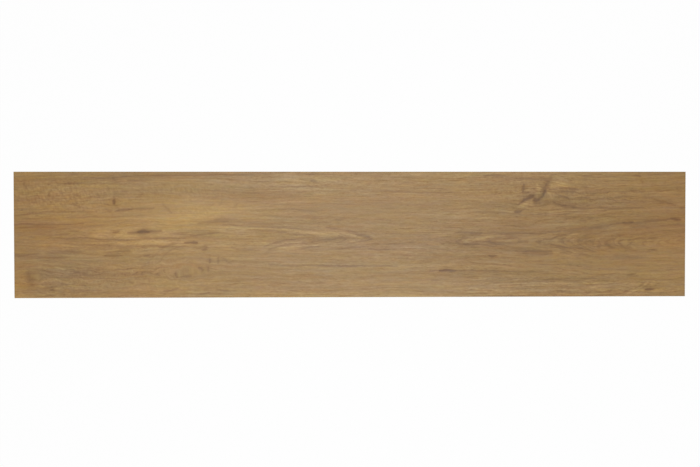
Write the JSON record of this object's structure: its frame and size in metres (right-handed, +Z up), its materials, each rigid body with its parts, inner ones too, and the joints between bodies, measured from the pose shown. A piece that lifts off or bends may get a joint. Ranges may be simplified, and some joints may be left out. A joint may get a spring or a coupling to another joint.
{
  "type": "vinyl floor plank",
  "caption": "Flat rectangular vinyl floor plank: printed and embossed oak-look face with a fine bevel round it, square edges that butt to the next plank, plain backing that is glued down.",
  "frame": {"origin": "middle of the underside", "axes": "+X along the length, +Y across the width, +Z up through the thickness to the printed face"},
  "size_m": [1.22, 0.228, 0.003],
  "materials": {
    "printed_vinyl": "matte"
  },
  "bodies": {
    "root": {"vinyl_plank": "printed_vinyl"}
  },
  "joints": []
}
